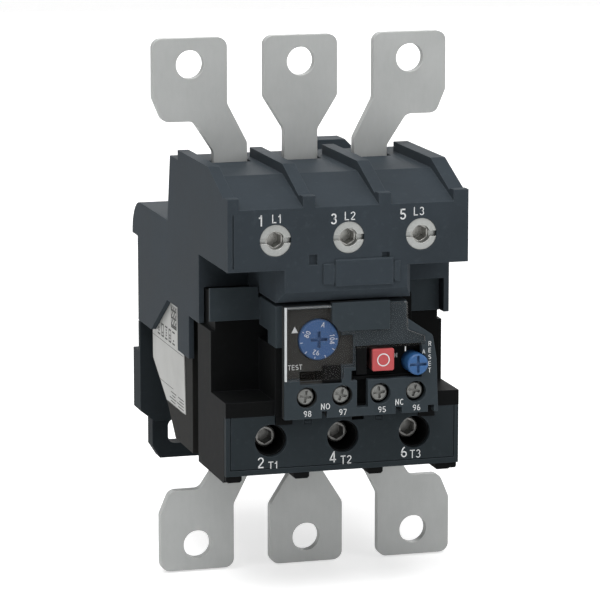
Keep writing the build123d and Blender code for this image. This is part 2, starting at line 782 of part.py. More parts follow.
def make_dial():
    """Current setting dial with a screwdriver cross, and the eccentric cam on its shaft."""
    front = control_depth + 0.8
    dial = rod(dial_x, dial_z, (front, control_depth + control_face), dial_radius)
    dial = chamfer(dial.faces().sort_by(Axis.Y)[0].edges(), 0.4)
    dial -= block((dial_x - 2.6, dial_x + 2.6), (0, front + 0.9), (dial_z - 0.5, dial_z + 0.5))
    dial -= block((dial_x - 0.5, dial_x + 0.5), (0, front + 0.9), (dial_z - 2.6, dial_z + 2.6))
    dial += rod(dial_x, dial_z, (control_depth + control_face, 15.0), 2.5)
    return dial + rod(dial_x + 1.2, dial_z, (9.0, 11.0), 4.2)


def make_stop_button():
    """Square push button on a square stem."""
    x = (stop_x - stop_width / 2, stop_x + stop_width / 2)
    z = (stop_z - stop_height / 2, stop_z + stop_height / 2)
    button = block(x, (control_depth - 0.5, 9.0), z)
    button = fillet(button.edges().filter_by(Axis.Y), 0.6)
    button = fillet(button.faces().sort_by(Axis.Y)[0].edges(), 0.35)
    stem_z = (stop_z - stem_half, stop_z + stem_half)
    button += block((stop_x - stem_half, stop_x + stem_half), (8.5, carrier_floor[1] + 0.5), stem_z)
    catch = (carrier_floor[1] + 0.3, carrier_floor[1] + 1.4)
    return button + block((stop_x - 2.4, stop_x + 2.4), catch, stem_z)


def make_reset_plunger():
    """Plunger that carries the reset knob."""
    stem = rod(reset_x, reset_z, (10.0, carrier_floor[1] + 0.5), plunger_radius)
    return stem + rod(reset_x, reset_z, (carrier_floor[1] + 0.3, carrier_floor[1] + 1.4), 3.0)


def make_reset_knob():
    """Round reset knob with a screwdriver cross, turned between hand and automatic."""
    front = control_depth - 1.5
    knob = rod(reset_x, reset_z, (front, 15.0), reset_radius)
    knob = chamfer(knob.faces().sort_by(Axis.Y)[0].edges(), 0.4)
    for dx, dz in ((2.7, 0.45), (0.45, 2.7)):
        slot_z = (reset_z - dz, reset_z + dz)
        knob -= block((reset_x - dx, reset_x + dx), (front - 1, front + 1.2), slot_z)
    return knob - rod(reset_x, reset_z, (9.5, 16.0), plunger_radius + fit_gap)


def make_test_slider():
    """Sliding test lever: head in the window, stem through the slot, carriage behind the face."""
    left, right = test_head_x
    head_depth = (hinge_depth + cover_wall / 2 + running_gap, window_depth - 0.1)
    head = block(test_head_x, head_depth, (test_z - 2.1, test_z + 3.0))
    head = fillet(head.faces().sort_by(Axis.Y)[0].edges(), 0.3)
    stem_z = (test_z - 1.2, test_z + 1.2)
    lever = head + block((left + 0.5, right - 0.5), (head_depth[0] + 0.4, 7.5), stem_z)
    carriage_depth = (control_depth + control_face + running_gap, 8.0)
    return lever + block((left - 1.5, right + 1.5), carriage_depth, (test_z - 2.0, test_z + 2.0))


def make_control_carrier():
    """Black inner frame: closes the button well and guides the stems and the dial shaft."""
    left, right = control_left_x + 1.3, control_right_x - 2.7
    well_left = button_slot_x + 0.2
    face_back = control_depth + control_face
    shelf = (-9.9, -8.9)
    front = (well_depth, well_depth + 1.0)
    shape = block((left, right), carrier_floor, (shelf[0], 12.9))
    shape += block((left, right), (13.0, carrier_floor[0] + 0.5), shelf)
    shape += block((well_left, right), (face_back, 13.5), shelf)
    wall_z = (shelf[0], button_z[1] + 0.4)
    for wall_x in ((well_left, well_left + 1.0), (right - 1.0, right)):
        shape += block(wall_x, (face_back, front[1]), wall_z)
    # Front wall with its raised rib, and the wall behind the narrow keyway
    shape += block((well_left, right), front, wall_z)
    rib_x = (keyway_x[0] + 0.2, keyway_x[1] - 0.2)
    shape += block(rib_x, (control_depth + 1.1, front[1]), (-8.0, button_z[1] - 0.1))
    shape += block((keyway_x[0] - 1.0, keyway_x[1] + 0.8), front, (keyway_bottom_z + 0.5, shelf[1]))
    button = [(middle - size / 2 - running_gap, middle + size / 2 + running_gap)
              for middle, size in ((stop_x, stop_width), (stop_z, stop_height))]
    shape -= block(button[0], (0, 10), button[1])
    shape -= rod(reset_x, reset_z, (0, 17.5), reset_radius + running_gap)
    shape += rod(dial_x, dial_z, (12.0, carrier_floor[0] + 0.1), 3.6)
    shape -= rod(dial_x, dial_z, (11.0, 15.5), 2.5 + fit_gap)
    shape -= rod(reset_x, reset_z, (12, 30), plunger_radius + fit_gap)
    hole = stem_half + 2 * fit_gap
    return shape - block((stop_x - hole, stop_x + hole), (12.0, 30), (stop_z - hole, stop_z + hole))


def make_stop_spring():
    place = Pos(stop_x, 9.5 - overall_depth, stop_z) * Rot(-90, 0, 0)
    return coil(2.6, 0.25, 10.5, 6, place)


def make_reset_spring():
    place = Pos(reset_x, 15.5 - overall_depth, reset_z) * Rot(-90, 0, 0)
    return coil(2.5, 0.25, 4.6, 4, place)


# Control terminals
def make_control_screws():
    """Four cross-head terminal screws."""
    screws = []
    head = (control_depth + 1.7, control_depth + 3.9)
    for x, turn in zip(control_screw_xs, control_screw_turns):
        screw = rod(0, 0, head, control_screw_radius)
        screw = fillet(screw.faces().sort_by(Axis.Y)[0].edges(), 0.6)
        for dx, dz in ((1.9, 0.42), (0.42, 1.9)):
            screw -= block((-dx, dx), (0, head[0] + 0.9), (-dz, dz))
        screw = Pos(x, 0, control_screw_z) * Rot(0, turn, 0) * screw
        screw += rod(x, control_screw_z, (head[1] - 0.1, clamp_depth[1] - 2.2), 1.6)
        screws.append(screw)
    return Compound(children=screws)


def make_control_clamps():
    """Four small clamp cages behind the control screws."""
    cages = []
    for x in control_screw_xs:
        cage = block((x - 3.4, x + 3.4), clamp_depth, (control_screw_z - 2.2, control_screw_z + 3.0))
        cage -= block((x - 2.6, x + 2.6), (clamp_depth[0] + 2, clamp_depth[1] - 1), (-20, 0))
        cage -= rod(x, control_screw_z, (clamp_depth[0] - 1, clamp_depth[0] + 2.5), 1.6 + fit_gap)
        cages.append(cage)
    return Compound(children=cages)


def contact_strip(x, leg_depth, pad_x, pad_z):
    """Fixed contact strip from a control clamp back to its contact pad."""
    near = clamp_depth[1] - 2.0
    foot_z = control_screw_z - 3.1
    strip = block((x - 2.4, x + 2.4), (near, near + 0.8), (foot_z, control_screw_z + 3.1))
    strip += block((x - 1.5, x + 1.5), (near, leg_depth + 0.8), (foot_z, foot_z + 0.8))
    strip += block((x - 1.5, x + 1.5), (leg_depth, leg_depth + 0.8), (foot_z, pad_z))
    arm_x = (min(x - 1.5, pad_x[0]), max(x + 1.5, pad_x[1]))
    strip += block(arm_x, (leg_depth, leg_depth + 0.8), (pad_z - 1.5, pad_z))
    inward = leg_depth - 1.0 if leg_depth > rocker_depth[1] else leg_depth
    return strip + block(pad_x, (inward, inward + 1.8), (pad_z - 0.8, pad_z))


rocker_depth = (27.5, 31.5)
rocker_x = 8.0
rocker_z = 4.0
bridge_z = rocker_z + 0.8
contact_travel = 1.95


def make_nc_contacts():
    """Normally closed pair, touched by its bridge at rest."""
    pad_x = (13.5, 18.0)
    near = contact_strip(control_screw_xs[2], rocker_depth[0] - 1.9, pad_x, bridge_z - 0.05)
    far = contact_strip(control_screw_xs[3], rocker_depth[1] + 1.1, pad_x, bridge_z - 0.05)
    return Compound(children=[near, far])


def make_no_contacts():
    """Normally open pair, below its bridge by the contact travel."""
    pad_x = (-4.0, 0.0)
    near = contact_strip(control_screw_xs[1], rocker_depth[0] - 1.9, pad_x, bridge_z - contact_travel)
    far = contact_strip(control_screw_xs[0], rocker_depth[1] + 1.1, pad_x, bridge_z - contact_travel)
    return Compound(children=[near, far])


def make_contact_rocker():
    """Insulating rocker that flips both contact pairs, on its pivot pin."""
    beam = block((-5.5, 21.5), rocker_depth, (rocker_z - 0.7, rocker_z + 0.7))
    beam += rod(rocker_x, rocker_z, rocker_depth, 2.4)
    return beam - rod(rocker_x, rocker_z, (20, 40), 1.0 + fit_gap)


def make_rocker_pin():
    return rod(rocker_x, rocker_z, (22.0, relay_recess_depth + 12), 1.0)


def make_contact_bridges():
    """The two moving contact bridges on the rocker."""
    bridges = []
    depth = (rocker_depth[0] - 1.7, rocker_depth[1] + 1.7)
    for x in ((13.8, 17.7), (-3.7, -0.3)):
        bridges.append(block(x, depth, (rocker_z + 0.75, rocker_z + 1.3)))
    return Compound(children=bridges)


# Thermal trip mechanism
slide_z = bimetal_tip_z + 1.0
lever_x = 30.0
lever_z = 2.0
lever_half = 0.6


def make_bimetal(x):
    """Bimetal strip standing on its line blade, free at the top."""
    half = bimetal_thickness / 2
    depth = (bimetal_depth, bimetal_back)
    return block((x - half, x + half), depth, (bimetal_foot_z - 0.6, bimetal_tip_z))


def make_heater(x):
    """Heater winding round the bimetal, with its lead down to the load clamp."""
    half = 1.5
    depth = (bimetal_depth - 0.8, bimetal_back + 0.8)
    start = bimetal_foot_z + 4.0
    wire = 0.9
    link_z = (start, start + winding_turns * winding_pitch)
    shape = block((x - 0.4, x + 0.4), (depth[0] - wire, depth[0]), link_z)
    for turn in range(winding_turns):
        z = start + turn * winding_pitch
        loop = block((x - half - wire, x + half + wire), (depth[0] - wire, depth[1] + wire), (z, z + 1.4))
        shape += loop - block((x - half, x + half), depth, (z - 1, z + 3))
    lead_z = (lead_low_z, lead_low_z + lead_height)
    lead_depth = (relay_rear_depth, relay_rear_depth + 1.2)
    blade = (load_window[1] - pin_thickness, load_window[1])
    shape += block((x - blade_half, x + blade_half), blade, (load_cage_z[0] + 0.5, lead_z[1]))
    lead_x = x + blade_half + 2.0
    shape += block((x - blade_half, lead_x), (blade[1] - 0.1, lead_depth[1]), lead_z)
    shape += block((lead_x - 1.2, lead_x), (lead_depth[0], depth[0] + 3), lead_z)
    return shape + block((x + half + 0.5, lead_x), (depth[0] + 1, depth[0] + 3), lead_z)


def make_trip_slide():
    """Lower slide, pushed along by the bimetal tips in an overload."""
    right = lever_x - lever_half - fit_gap
    depth = (bimetal_depth + 2.0, slide_back)
    shape = block((slide_left_x, right), depth, (slide_z, slide_z + slide_thickness))
    for x in pole_xs:
        near = x + bimetal_thickness / 2 + running_gap
        shape += block((near, near + 1.2), (depth[0] + 0.5, depth[1] - 2.5), (slide_z - 3.5, slide_z + 0.1))
    return shape


def make_differential_slide():
    """Upper slide, which lags when one phase is lost."""
    low = slide_z + slide_thickness + running_gap
    front = bimetal_depth - 2.0
    right = lever_x - lever_half - fit_gap
    shape = block((slide_left_x, right), (front, slide_back), (low, low + slide_thickness))
    for x in pole_xs:
        near = x + bimetal_thickness / 2 + running_gap
        shape += block((near, near + 1.2), (front + 0.2, front + 3.7), (slide_z - 3.5, low + 0.1))
    return shape


def make_trip_lever():
    """Compensated trip lever: strip beside the slides, shaft, and striker under the rocker."""
    striker = rocker_depth[0] + 1.5
    shape = rod(lever_x, lever_z, (striker, slide_back), 1.5)
    strip_depth = (bimetal_depth - 2.0, slide_back)
    shape += block((lever_x - lever_half, lever_x + lever_half), strip_depth, (lever_z, slide_z + 3.2))
    return shape + block((19.0, lever_x), (striker, striker + 2.0), (lever_z - 0.8, lever_z + 0.8))


parts = {}
parts["adaptor_housing"] = make_adaptor_housing()
parts["label_tab"] = make_label_tab()
parts["mounting_base"] = make_mounting_base()
parts["din_clip"] = make_din_clip()
parts["clip_spring"] = make_clip_spring()
for index, x in enumerate(pole_xs):
    number = index + 1
    side = index - 1
    parts[f"line_bar_{number}"] = make_bar(side, upper_bar_depth, upper_hole_z, 1, line_cage_z[0] + 0.5)
    parts[f"load_bar_{number}"] = make_bar(side, lower_bar_depth, lower_hole_z, -1, load_cage_z[1] - 0.5)
    parts[f"line_sleeve_{number}"] = make_line_sleeve(x)
    line_depth = (sleeve_lip + 0.2, upper_bar_depth)
    parts[f"line_screw_{number}"] = make_clamp_screw(x, line_screw_z, line_depth, socket_across)
    load_depth = (load_screw_depth, lower_bar_depth)
    parts[f"load_screw_{number}"] = make_clamp_screw(x, load_screw_z, load_depth, socket_across)
    parts[f"line_cage_{number}"] = make_cage(x, line_cage_z, line_cage, line_window)
    parts[f"load_cage_{number}"] = make_cage(x, load_cage_z, load_cage, load_window)
    parts[f"line_pin_{number}"] = make_line_pin(x)
    parts[f"bimetal_{number}"] = make_bimetal(x)
    parts[f"heater_{number}"] = make_heater(x)
parts["front_case"] = make_front_case()
parts["rear_case"] = make_rear_case()
parts["terminal_frame"] = make_terminal_frame()
parts["terminal_cover"] = make_terminal_cover()
parts["side_label"] = make_side_label()
parts["control_housing"] = make_control_housing()
parts["clear_cover"] = make_clear_cover()
parts["dial"] = make_dial()
parts["stop_button"] = make_stop_button()
parts["reset_plunger"] = make_reset_plunger()
parts["reset_knob"] = make_reset_knob()
parts["test_slider"] = make_test_slider()
parts["control_carrier"] = make_control_carrier()
parts["stop_spring"] = make_stop_spring()
parts["reset_spring"] = make_reset_spring()
parts["control_screws"] = make_control_screws()
parts["control_clamps"] = make_control_clamps()
parts["nc_contacts"] = make_nc_contacts()
parts["no_contacts"] = make_no_contacts()
parts["contact_rocker"] = make_contact_rocker()
parts["rocker_pin"] = make_rocker_pin()
parts["contact_bridges"] = make_contact_bridges()
parts["trip_slide"] = make_trip_slide()
parts["differential_slide"] = make_differential_slide()
parts["trip_lever"] = make_trip_lever()

os.makedirs("parts", exist_ok=True)
for name, shape in parts.items():
    export_step(Compound(label=name, children=shape.solids()), f"parts/{name}.step")
    print(name, len(shape.solids()), round(shape.volume))
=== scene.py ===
import bpy
import bmesh
import math
from mathutils import Matrix, Vector


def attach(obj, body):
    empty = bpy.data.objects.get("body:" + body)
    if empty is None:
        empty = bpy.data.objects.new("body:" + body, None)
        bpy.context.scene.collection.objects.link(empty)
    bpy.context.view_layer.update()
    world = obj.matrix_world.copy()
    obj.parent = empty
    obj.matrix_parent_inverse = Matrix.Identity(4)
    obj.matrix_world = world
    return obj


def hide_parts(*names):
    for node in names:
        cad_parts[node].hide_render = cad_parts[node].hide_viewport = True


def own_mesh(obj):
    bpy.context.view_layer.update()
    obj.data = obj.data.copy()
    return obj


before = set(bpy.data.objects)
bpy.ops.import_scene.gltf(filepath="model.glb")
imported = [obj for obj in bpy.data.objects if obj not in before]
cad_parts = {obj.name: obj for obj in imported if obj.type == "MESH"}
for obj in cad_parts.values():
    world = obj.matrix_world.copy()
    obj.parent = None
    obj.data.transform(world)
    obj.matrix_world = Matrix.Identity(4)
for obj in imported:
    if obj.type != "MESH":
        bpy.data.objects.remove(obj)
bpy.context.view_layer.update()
mm = 0.001
frontY = -0.1245  # front face of the adaptor; depths count back from here
# depths of the faces that carry print, and the thickness of the print
faces = {"adaptor": 0.0, "control": 1.5, "window": 3.3, "well": 6.5, "dial": 2.3, "stop": 1.0,
         "cover": 5.8, "ink": 0.02}
# rays of the bevel and shade nodes, and the lean of the normal that counts as an edge
edgeTest = {"rays": 6, "from": 0.01, "to": 0.16}
mottle = (0.3, 0.7)  # stretch of a noise that is spread over two colours


def srgb(red, green, blue, alpha=1.0):
    # a colour as picked on screen, turned into light
    def light(c):
        c = c / 255
        return c / 12.92 if c <= 0.04045 else ((c + 0.055) / 1.055) ** 2.4
    return (light(red), light(green), light(blue), alpha)


class Wire:
    # one output of a material, so that its sums read as Python
    def __init__(self, finish, socket):
        self.finish = finish
        self.socket = socket

    def sum(self, operation, first, second):
        return self.finish.node("Math", {"operation": operation}, {0: first, 1: second})

    def __add__(self, other):
        return self.sum("ADD", self, other)

    def __sub__(self, other):
        return self.sum("SUBTRACT", self, other)

    def __rsub__(self, other):
        return self.sum("SUBTRACT", other, self)

    def __mul__(self, other):
        return self.sum("MULTIPLY", self, other)

    def __or__(self, other):
        return self.sum("MAXIMUM", self, other)


class Finish:
    # one material and the nodes in it
    def __init__(self, name):
        self.material = bpy.data.materials.new(name)
        self.material.use_nodes = True
        self.tree = self.material.node_tree
        self.tree.nodes.clear()

    def node(self, kind, settings=None, values=None, output=0):
        made = self.tree.nodes.new("ShaderNode" + kind)
        for key, value in (settings or {}).items():
            setattr(made, key, value)
        for key, value in (values or {}).items():
            if isinstance(value, Wire):
                self.tree.links.new(value.socket, made.inputs[key])
            else:
                made.inputs[key].default_value = value
        return Wire(self, made.outputs[output])

    def noise(self, scale, detail=3.0, stretch=(1.0, 1.0, 1.0), roughness=0.55):
        place = self.node("TexCoord", output="Object")
        place = self.node("VectorMath", {"operation": "MULTIPLY"}, {0: place, 1: stretch})
        values = {"Vector": place, "Scale": scale, "Detail": detail, "Roughness": roughness}
        return self.node("TexNoise", {}, values, "Fac")

    def ramp(self, factor, low, high):
        values = {"Value": factor, "From Min": low, "From Max": high}
        return self.node("MapRange", {"clamp": True}, values)

    def blend(self, factor, first, second):
        return self.node("Mix", {"data_type": "RGBA"}, {"Factor": factor, 6: first, 7: second}, 2)

    def edges(self, radius):
        # how far the rounded normal leans from the true one: bright only near an edge
        rounded = self.node("Bevel", {"samples": edgeTest["rays"]}, {"Radius": radius})
        flat = self.node("NewGeometry", output="Normal")
        alike = self.node("VectorMath", {"operation": "DOT_PRODUCT"}, {0: rounded, 1: flat}, "Value")
        return self.ramp(1.0 - alike, edgeTest["from"], edgeTest["to"]), rounded

    def corners(self, reach):
        # 1 in the open, falling where another face stands close
        return self.node("AmbientOcclusion", {"samples": edgeTest["rays"]}, {"Distance": reach}, "AO")

    def within(self, low, high, soft=0.00005):
        # 1 inside a box of the part's own space, given in millimetres
        place = self.node("TexCoord", output="Object")
        inside = None
        for axis in range(3):
            along = self.node("SeparateXYZ", {}, {0: place}, axis)
            for limit, sign in ((low[axis], 1), (high[axis], -1)):
                if limit is None:
                    continue
                edge = self.ramp((along - limit * mm) * float(sign), -soft, soft)
                inside = edge if inside is None else inside * edge
        return inside

    def done(self, shader):
        out = self.tree.nodes.new("ShaderNodeOutputMaterial")
        self.tree.links.new(shader.socket, out.inputs["Surface"])
        return self.material


# "edge" is the colour of dust and also of the painted highlight along edges
plastics = {
    "housingPlastic": {"colour": (52, 58, 63), "pale": (58, 65, 71), "rough": 0.6, "grain": 0.35,
                       "edge": (92, 100, 106), "gloss": 0.035},
    "basePlastic": {"colour": (40, 45, 48), "pale": (46, 52, 56), "rough": 0.62, "grain": 0.35,
                    "edge": (70, 76, 82), "gloss": 0.03},
    "wellPlastic": {"colour": (12, 13, 13), "pale": (17, 18, 19), "rough": 0.6, "grain": 0.25,
                    "edge": (44, 46, 48), "gloss": 0.04},
    "backPlastic": {"colour": (32, 32, 31), "pale": (38, 38, 37), "rough": 0.62, "grain": 0.35,
                    "edge": (60, 60, 58), "gloss": 0.04},
    "panelPlastic": {"colour": (40, 46, 49), "pale": (47, 53, 57), "rough": 0.58, "grain": 0.3,
                     "edge": (80, 88, 94), "gloss": 0.04},
    "controlPlastic": {"colour": (51, 58, 62), "pale": (57, 64, 69), "rough": 0.56, "grain": 0.3,
                       "edge": (90, 98, 104), "gloss": 0.04,
                       "zone": {"low": (-20, -121.8, None), "high": (2.3, -120.5, None),
                                "colour": (56, 54, 51)}},
    "dialPlastic": {"colour": (54, 85, 131), "pale": (62, 94, 141), "rough": 0.42, "grain": 0.15,
                    "edge": (104, 134, 176), "gloss": 0.2},
    "knobPlastic": {"colour": (42, 86, 136), "pale": (50, 96, 148), "rough": 0.34, "grain": 0.12,
                    "edge": (96, 138, 188), "gloss": 0.35},
    "stopPlastic": {"colour": (182, 76, 78), "pale": (190, 86, 88), "rough": 0.42, "grain": 0.15,
                    "edge": (218, 128, 128), "gloss": 0.25,
                    "zone": {"low": (None, -122.7, None), "high": (None, None, None),
                             "colour": (24, 23, 23)}},
    "ivoryPlastic": {"colour": (205, 200, 182), "pale": (216, 211, 196), "rough": 0.5, "grain": 0.2,
                     "edge": (226, 222, 210), "gloss": 0.3},
}

# sizes of the moulded surface: noise scales, edge rounding and shares of dust and of the painted
# highlight on edges
moulded = {"cloud": 38.0, "cloudFrom": 0.35, "cloudTo": 0.72, "grain": 3200.0, "grainDepth": 0.00006,
           "dust": 420.0, "dustFrom": 0.55, "dustTo": 0.8, "dustShare": 0.16, "corner": 0.004,
           "cornerShare": 0.1, "edge": 0.00035, "highlightShare": 0.5, "cloudRough": 0.12, "dustRough": 0.1}


def makePlastic(name, look):
    finish = Finish(name)
    cloud = finish.noise(moulded["cloud"], 4.0)
    grain = finish.noise(moulded["grain"], 2.0)
    dust = finish.noise(moulded["dust"], 5.0, roughness=0.7)
    edge, rounded = finish.edges(moulded["edge"])
    clouded = finish.ramp(cloud, moulded["cloudFrom"], moulded["cloudTo"])
    colour = finish.blend(clouded, srgb(*look["colour"]), srgb(*look["pale"]))
    if "zone" in look:
        zone = look["zone"]
        colour = finish.blend(finish.within(zone["low"], zone["high"]), colour, srgb(*zone["colour"]))
    dusty = finish.ramp(dust, moulded["dustFrom"], moulded["dustTo"]) * moulded["dustShare"]
    settled = dusty + (1.0 - finish.corners(moulded["corner"])) * moulded["cornerShare"]
    colour = finish.blend(settled, colour, srgb(*look["edge"]))
    # painted highlight: the edges are lightened towards the edge colour
    colour = finish.blend(edge * moulded["highlightShare"], colour, srgb(*look["edge"]))
    rough = (cloud - 0.5) * moulded["cloudRough"] + (dust - 0.5) * moulded["dustRough"] + look["rough"]
    bump = finish.node("Bump", {}, {"Height": grain, "Strength": look["grain"],
                                    "Distance": moulded["grainDepth"], "Normal": rounded})
    return finish.done(finish.node("BsdfPrincipled", {}, {
        "Base Color": colour, "Roughness": rough, "Normal": bump, "Specular IOR Level": look["gloss"]}))


metals = {
    "tinnedCopper": {"colour": (162, 164, 163), "pale": (172, 174, 173), "rough": 0.52, "metal": 0.35,
                     "stretch": (1.0, 1.0, 0.3), "brush": 700.0},
    "zincPlate": {"colour": (139, 141, 139), "pale": (160, 162, 160), "rough": 0.34, "metal": 0.8,
                  "stretch": (1.0, 0.2, 1.0), "brush": 1500.0},
    "brightSteel": {"colour": (132, 132, 129), "pale": (168, 168, 164), "rough": 0.3, "metal": 0.85,
                    "stretch": (1.0, 0.2, 1.0), "brush": 1500.0},
    "greyZinc": {"colour": (102, 103, 101), "pale": (130, 131, 128), "rough": 0.36, "metal": 0.6,
                 "stretch": (1.0, 1.0, 1.0), "brush": 700.0},
    "darkSteel": {"colour": (108, 108, 106), "pale": (148, 148, 145), "rough": 0.42, "metal": 0.7,
                  "stretch": (1.0, 0.2, 1.0), "brush": 1500.0},
    "springSteel": {"colour": (150, 150, 152), "pale": (176, 176, 178), "rough": 0.35, "metal": 0.9,
                    "stretch": (1.0, 0.3, 1.0), "brush": 1400.0},
    "contactBrass": {"colour": (176, 148, 92), "pale": (196, 168, 112), "rough": 0.34, "metal": 0.9,
                     "stretch": (1.0, 0.3, 1.0), "brush": 1400.0},
}

# sizes of the metal surface: noise scale, mottling, painted shade in corners, painted highlight on edges
# and brushing
worked = {"cloud": 60.0, "cloudShare": 0.6, "brushShare": 0.4, "mottleFrom": 0.35, "mottleTo": 0.65,
          "corner": 0.0012, "cornerShare": 0.5, "cornerShade": (48, 46, 43), "edge": 0.0003, "highlightShare": 0.4,
          "bright": (226, 226, 222), "brushBump": 0.25, "brushDepth": 0.00004, "brushRough": 0.22}


def makeMetal(name, look):
    finish = Finish(name)
    brush = finish.noise(look["brush"], 4.0, look["stretch"], 0.65)
    cloud = finish.noise(worked["cloud"], 4.0)
    edge, rounded = finish.edges(worked["edge"])
    mixed = cloud * worked["cloudShare"] + brush * worked["brushShare"]
    mottled = finish.ramp(mixed, worked["mottleFrom"], worked["mottleTo"])
    colour = finish.blend(mottled, srgb(*look["colour"]), srgb(*look["pale"]))
    # painted shade: darker where another face stands close, in slots and corners
    cornerShaded = (1.0 - finish.corners(worked["corner"])) * worked["cornerShare"]
    colour = finish.blend(cornerShaded, colour, srgb(*worked["cornerShade"]))
    # painted highlight: the edges are blended towards a near-white colour
    colour = finish.blend(edge * worked["highlightShare"], colour, srgb(*worked["bright"]))
    bump = finish.node("Bump", {}, {"Height": brush, "Strength": worked["brushBump"],
                                    "Distance": worked["brushDepth"], "Normal": rounded})
    rough = (brush - 0.5) * worked["brushRough"] + look["rough"]
    return finish.done(finish.node("BsdfPrincipled", {}, {
        "Base Color": colour, "Roughness": rough, "Normal": bump, "Metallic": look["metal"]}))


inks = {
    "whiteInk": {"colour": (205, 207, 208), "pale": (226, 228, 228)},
    "darkInk": {"colour": (44, 45, 44), "pale": (66, 67, 65)},
}
padPrint = {"worn": 1800.0, "rough": 0.55, "wornRough": 0.1, "gloss": 0.2}


def makeInk(name, look):
    # pad-printed marking, a little uneven
    finish = Finish(name)
    worn = finish.noise(padPrint["worn"], 3.0)
    colour = finish.blend(finish.ramp(worn, *mottle), srgb(*look["colour"]), srgb(*look["pale"]))
    rough = (worn - 0.5) * padPrint["wornRough"] + padPrint["rough"]
    return finish.done(finish.node("BsdfPrincipled", {}, {
        "Base Color": colour, "Roughness": rough, "Specular IOR Level": padPrint["gloss"]}))


film = {"colour": (173, 174, 171), "pale": (186, 187, 184), "fibre": 900.0, "cloud": 70.0, "bump": 0.15,
        "depth": 0.00003, "rough": 0.42, "fibreRough": 0.15, "gloss": 0.25}


def makeLabelFilm():
    finish = Finish("labelFilm")
    fibre = finish.noise(film["fibre"], 5.0)
    cloud = finish.noise(film["cloud"], 3.0)
    colour = finish.blend(finish.ramp(cloud, *mottle), srgb(*film["colour"]), srgb(*film["pale"]))
    relief = {"Height": fibre, "Strength": film["bump"], "Distance": film["depth"]}
    rough = (fibre - 0.5) * film["fibreRough"] + film["rough"]
    return finish.done(finish.node("BsdfPrincipled", {}, {
        "Base Color": colour, "Roughness": rough, "Normal": finish.node("Bump", {}, relief),
        "Specular IOR Level": film["gloss"]}))


# painted highlights on the rim, the upper edge and the slanted right edge; limits are in millimetres
cover = {"body": (66, 64, 61), "lit": (214, 217, 218), "rimTo": -19.35, "topFrom": 13.75,
         "topTo": -5.4, "topShare": 0.4, "bendFrom": (18.0, None, 1.5), "bendShare": 0.5,
         "edge": 0.0004, "highlightShare": 0.12, "haze": 160.0, "hazeFrom": 0.5, "hazeTo": 0.8,
         "rough": 0.34, "hazeRough": 0.12,
         "alpha": 0.06, "litAlpha": 0.8, "hazeAlpha": 0.02, "gloss": 0.08}


def makeClear():
    # clear polycarbonate: see-through, with painted highlights along its rim and edges
    finish = Finish("clearPolycarbonate")
    haze = finish.noise(cover["haze"], 2.0)
    edge = finish.edges(cover["edge"])[0]
    everywhere = (None, None, None)
    rim = finish.within(everywhere, (cover["rimTo"], None, None))
    top = finish.within((None, None, cover["topFrom"]), (cover["topTo"], None, None)) * cover["topShare"]
    bend = finish.within(cover["bendFrom"], everywhere) * edge * cover["bendShare"]
    # painted highlights: these places get the light colour and are less see-through
    lit = (rim | top) | (bend | edge * cover["highlightShare"])
    hazy = finish.ramp(haze, cover["hazeFrom"], cover["hazeTo"])
    return finish.done(finish.node("BsdfPrincipled", {}, {
        "Base Color": finish.blend(lit, srgb(*cover["body"]), srgb(*cover["lit"])),
        "Roughness": hazy * cover["hazeRough"] + cover["rough"],
        "Alpha": lit * cover["litAlpha"] + haze * cover["hazeAlpha"] + cover["alpha"],
        "Specular IOR Level": cover["gloss"]}))


looks = {name: makePlastic(name, look) for name, look in plastics.items()}
looks.update({name: makeMetal(name, look) for name, look in metals.items()})
looks.update({name: makeInk(name, look) for name, look in inks.items()})
looks["labelFilm"] = makeLabelFilm()
looks["clear"] = makeClear()
print("materials made:", len(looks))

nodeLooks = {
    "adaptor_housing": "housingPlastic", "label_tab": "housingPlastic", "mounting_base": "basePlastic",
    "din_clip": "basePlastic", "clip_spring": "springSteel", "front_case": "wellPlastic",
    "rear_case": "backPlastic", "terminal_frame": "panelPlastic", "terminal_cover": "panelPlastic",
    "side_label": "labelFilm", "control_housing": "controlPlastic", "clear_cover": "clear",
    "dial": "dialPlastic", "stop_button": "stopPlastic", "reset_plunger": "knobPlastic",
    "reset_knob": "knobPlastic",
    "test_slider": "wellPlastic", "control_carrier": "wellPlastic", "stop_spring": "springSteel",
    "reset_spring": "springSteel", "control_screws": "greyZinc", "control_clamps": "zincPlate",
    "nc_contacts": "contactBrass", "no_contacts": "contactBrass", "contact_rocker": "ivoryPlastic",
    "rocker_pin": "springSteel", "contact_bridges": "contactBrass", "trip_slide": "ivoryPlastic",
    "differential_slide": "ivoryPlastic", "trip_lever": "springSteel", "line_bar": "tinnedCopper",
    "load_bar": "tinnedCopper", "line_sleeve": "zincPlate", "line_screw": "brightSteel",
    "load_screw": "darkSteel", "line_cage": "zincPlate", "load_cage": "darkSteel",
    "line_pin": "tinnedCopper", "bimetal": "springSteel", "heater": "springSteel",
}
for nodeName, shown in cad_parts.items():
    family = nodeName if nodeName in nodeLooks else nodeName.rsplit("_", 1)[0]
    shown.data.materials.clear()
    shown.data.materials.append(looks[nodeLooks[family]])
print("nodes dressed:", len(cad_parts))


# flat pieces: each is drawn in the plane of its face, then set on it
def onFront(x, z, depth, spin=0.0):
    # a face that looks forward: u to the right, v up
    turn = Matrix.Rotation(math.radians(90), 4, "X") @ Matrix.Rotation(spin, 4, "Z")
    return Matrix.Translation((x * mm, frontY + depth * mm, z * mm)) @ turn


def onLeft(x, depth, z):
    # a face that looks left: u towards the front, v up
    turn = Matrix.Rotation(math.radians(-90), 4, "Z") @ Matrix.Rotation(math.radians(90), 4, "X")
    return Matrix.Translation((x * mm, frontY + depth * mm, z * mm)) @ turn


def newPiece(name, work, look):
    # the worked mesh as an object with its material
    mesh = bpy.data.meshes.new(name)
    work.to_mesh(mesh)
    work.free()
    mesh.materials.append(looks[look])
    piece = bpy.data.objects.new(name, mesh)
    bpy.context.scene.collection.objects.link(piece)
    return piece


